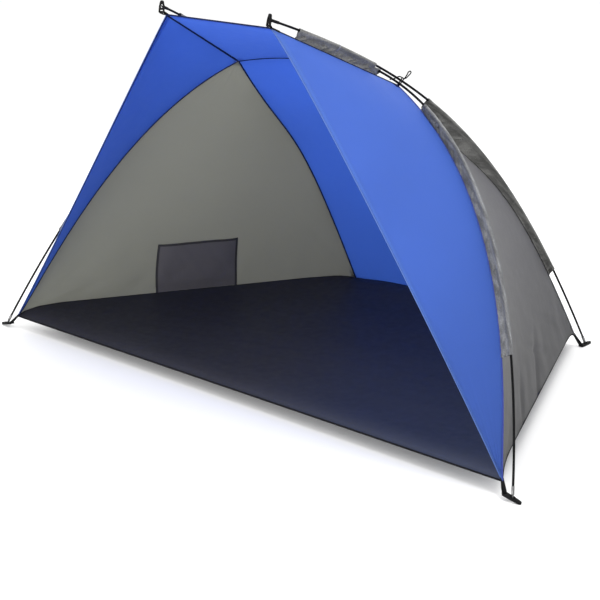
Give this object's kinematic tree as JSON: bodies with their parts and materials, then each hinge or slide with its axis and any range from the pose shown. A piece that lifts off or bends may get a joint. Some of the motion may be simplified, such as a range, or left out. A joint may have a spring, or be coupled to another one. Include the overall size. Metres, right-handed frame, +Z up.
{
  "type": "beach shelter",
  "caption": "Open-fronted beach shelter with a floor, grey side panels and a blue canopy, held up by bent fibreglass poles in sewn sleeves.",
  "frame": {"origin": "on the ground, midway between the furthest points on each side", "axes": "+X to the right as seen looking in at the open front, +Y from the open front to the back, +Z up"},
  "size_m": [2.256, 1.274, 1.2118],
  "materials": {
    "blue_polyester": "plain weave, coated inside, slight sheen",
    "grey_polyester": "plain weave, silver-grey, slight sheen",
    "floor_polyethylene": "woven polyethylene sheet, dark navy grey",
    "pocket_fabric": "dark grey plain weave with black binding",
    "fibreglass": "black satin",
    "plated_steel": "bright plated",
    "black_plastic": "moulded, satin",
    "black_webbing": "ribbed webbing",
    "shock_cord": "braided"
  },
  "bodies": {
    "canopy_and_poles": {"floor_sheet": "floor_polyethylene", "back_panel": "blue_polyester", "roof_panel": "blue_polyester", "side_panel_right": "grey_polyester", "wing_panel_right": "blue_polyester", "side_panel_left": "grey_polyester", "wing_panel_left": "blue_polyester", "storage_pocket": "pocket_fabric", "hoop_sleeve_right": "grey_polyester", "rear_sleeve_right": "grey_polyester", "roof_sleeve_right": "grey_polyester", "hoop_sleeve_left": "grey_polyester", "rear_sleeve_left": "grey_polyester", "roof_sleeve_left": "grey_polyester", "crown_sleeve": "grey_polyester", "hoop_pole_section_1": "fibreglass", "hoop_pole_section_2": "fibreglass", "hoop_pole_section_3": "fibreglass", "hoop_pole_section_4": "fibreglass", "hoop_pole_section_5": "fibreglass", "hoop_pole_section_6": "fibreglass", "hoop_pole_joint_sleeve_1": "plated_steel", "hoop_pole_joint_sleeve_2": "plated_steel", "hoop_pole_joint_sleeve_3": "plated_steel", "hoop_pole_joint_sleeve_4": "plated_steel", "hoop_pole_joint_sleeve_5": "plated_steel", "hoop_pole_shock_cord": "shock_cord", "hoop_end_pin_left": "plated_steel", "hoop_end_pin_right": "plated_steel", "rib_pole_right_section_1": "fibreglass", "rib_pole_right_section_2": "fibreglass", "rib_pole_right_section_3": "fibreglass", "rib_pole_right_joint_sleeve_1": "plated_steel", "rib_pole_right_joint_sleeve_2": "plated_steel", "rib_pole_right_shock_cord": "shock_cord", "rib_rear_pin_right": "plated_steel", "rib_tip_pin_right": "black_plastic", "rib_pole_left_section_1": "fibreglass", "rib_pole_left_section_2": "fibreglass", "rib_pole_left_section_3": "fibreglass", "rib_pole_left_joint_sleeve_1": "plated_steel", "rib_pole_left_joint_sleeve_2": "plated_steel", "rib_pole_left_shock_cord": "shock_cord", "rib_rear_pin_left": "plated_steel", "rib_tip_pin_left": "black_plastic", "tie_cord_right": "black_webbing", "tie_cord_left": "black_webbing"},
    "front_foot_right": {"front_foot_right": "black_plastic", "front_tape_right": "black_webbing"},
    "rear_foot_right": {"rear_foot_right": "black_plastic", "rear_tape_right": "black_webbing"},
    "tip_holder_right": {"tip_holder_right": "black_plastic", "tip_tape_right": "black_webbing"},
    "front_foot_left": {"front_foot_left": "black_plastic", "front_tape_left": "black_webbing"},
    "rear_foot_left": {"rear_foot_left": "black_plastic", "rear_tape_left": "black_webbing"},
    "tip_holder_left": {"tip_holder_left": "black_plastic", "tip_tape_left": "black_webbing"}
  },
  "joints": [
    {"name": "front_foot_right_swivel", "type": "hinge", "parent": "canopy_and_poles", "child": "front_foot_right", "pos_m": [1.09909, -0.61252, 0.0093], "axis": [0.2079, 0, 0.9781], "range_deg": [-15, 15]},
    {"name": "rear_foot_right_swivel", "type": "hinge", "parent": "canopy_and_poles", "child": "rear_foot_right", "pos_m": [0.50887, 0.60804, 0.0035], "axis": [0, 0, 1], "range_deg": [-15, 15]},
    {"name": "tip_holder_right_swivel", "type": "hinge", "parent": "canopy_and_poles", "child": "tip_holder_right", "pos_m": [0.22284, -0.62862, 1.1948], "axis": [0.2511, 0.9511, -0.18], "range_deg": [-12, 12]},
    {"name": "front_foot_left_swivel", "type": "hinge", "parent": "canopy_and_poles", "child": "front_foot_left", "pos_m": [-1.09909, -0.61252, 0.0093], "axis": [-0.2079, 0, 0.9781], "range_deg": [-15, 15]},
    {"name": "rear_foot_left_swivel", "type": "hinge", "parent": "canopy_and_poles", "child": "rear_foot_left", "pos_m": [-0.50887, 0.60804, 0.0035], "axis": [0, 0, 1], "range_deg": [-15, 15]},
    {"name": "tip_holder_left_swivel", "type": "hinge", "parent": "canopy_and_poles", "child": "tip_holder_left", "pos_m": [-0.22284, -0.62862, 1.1948], "axis": [-0.2511, 0.9511, -0.18], "range_deg": [-12, 12]}
  ]
}
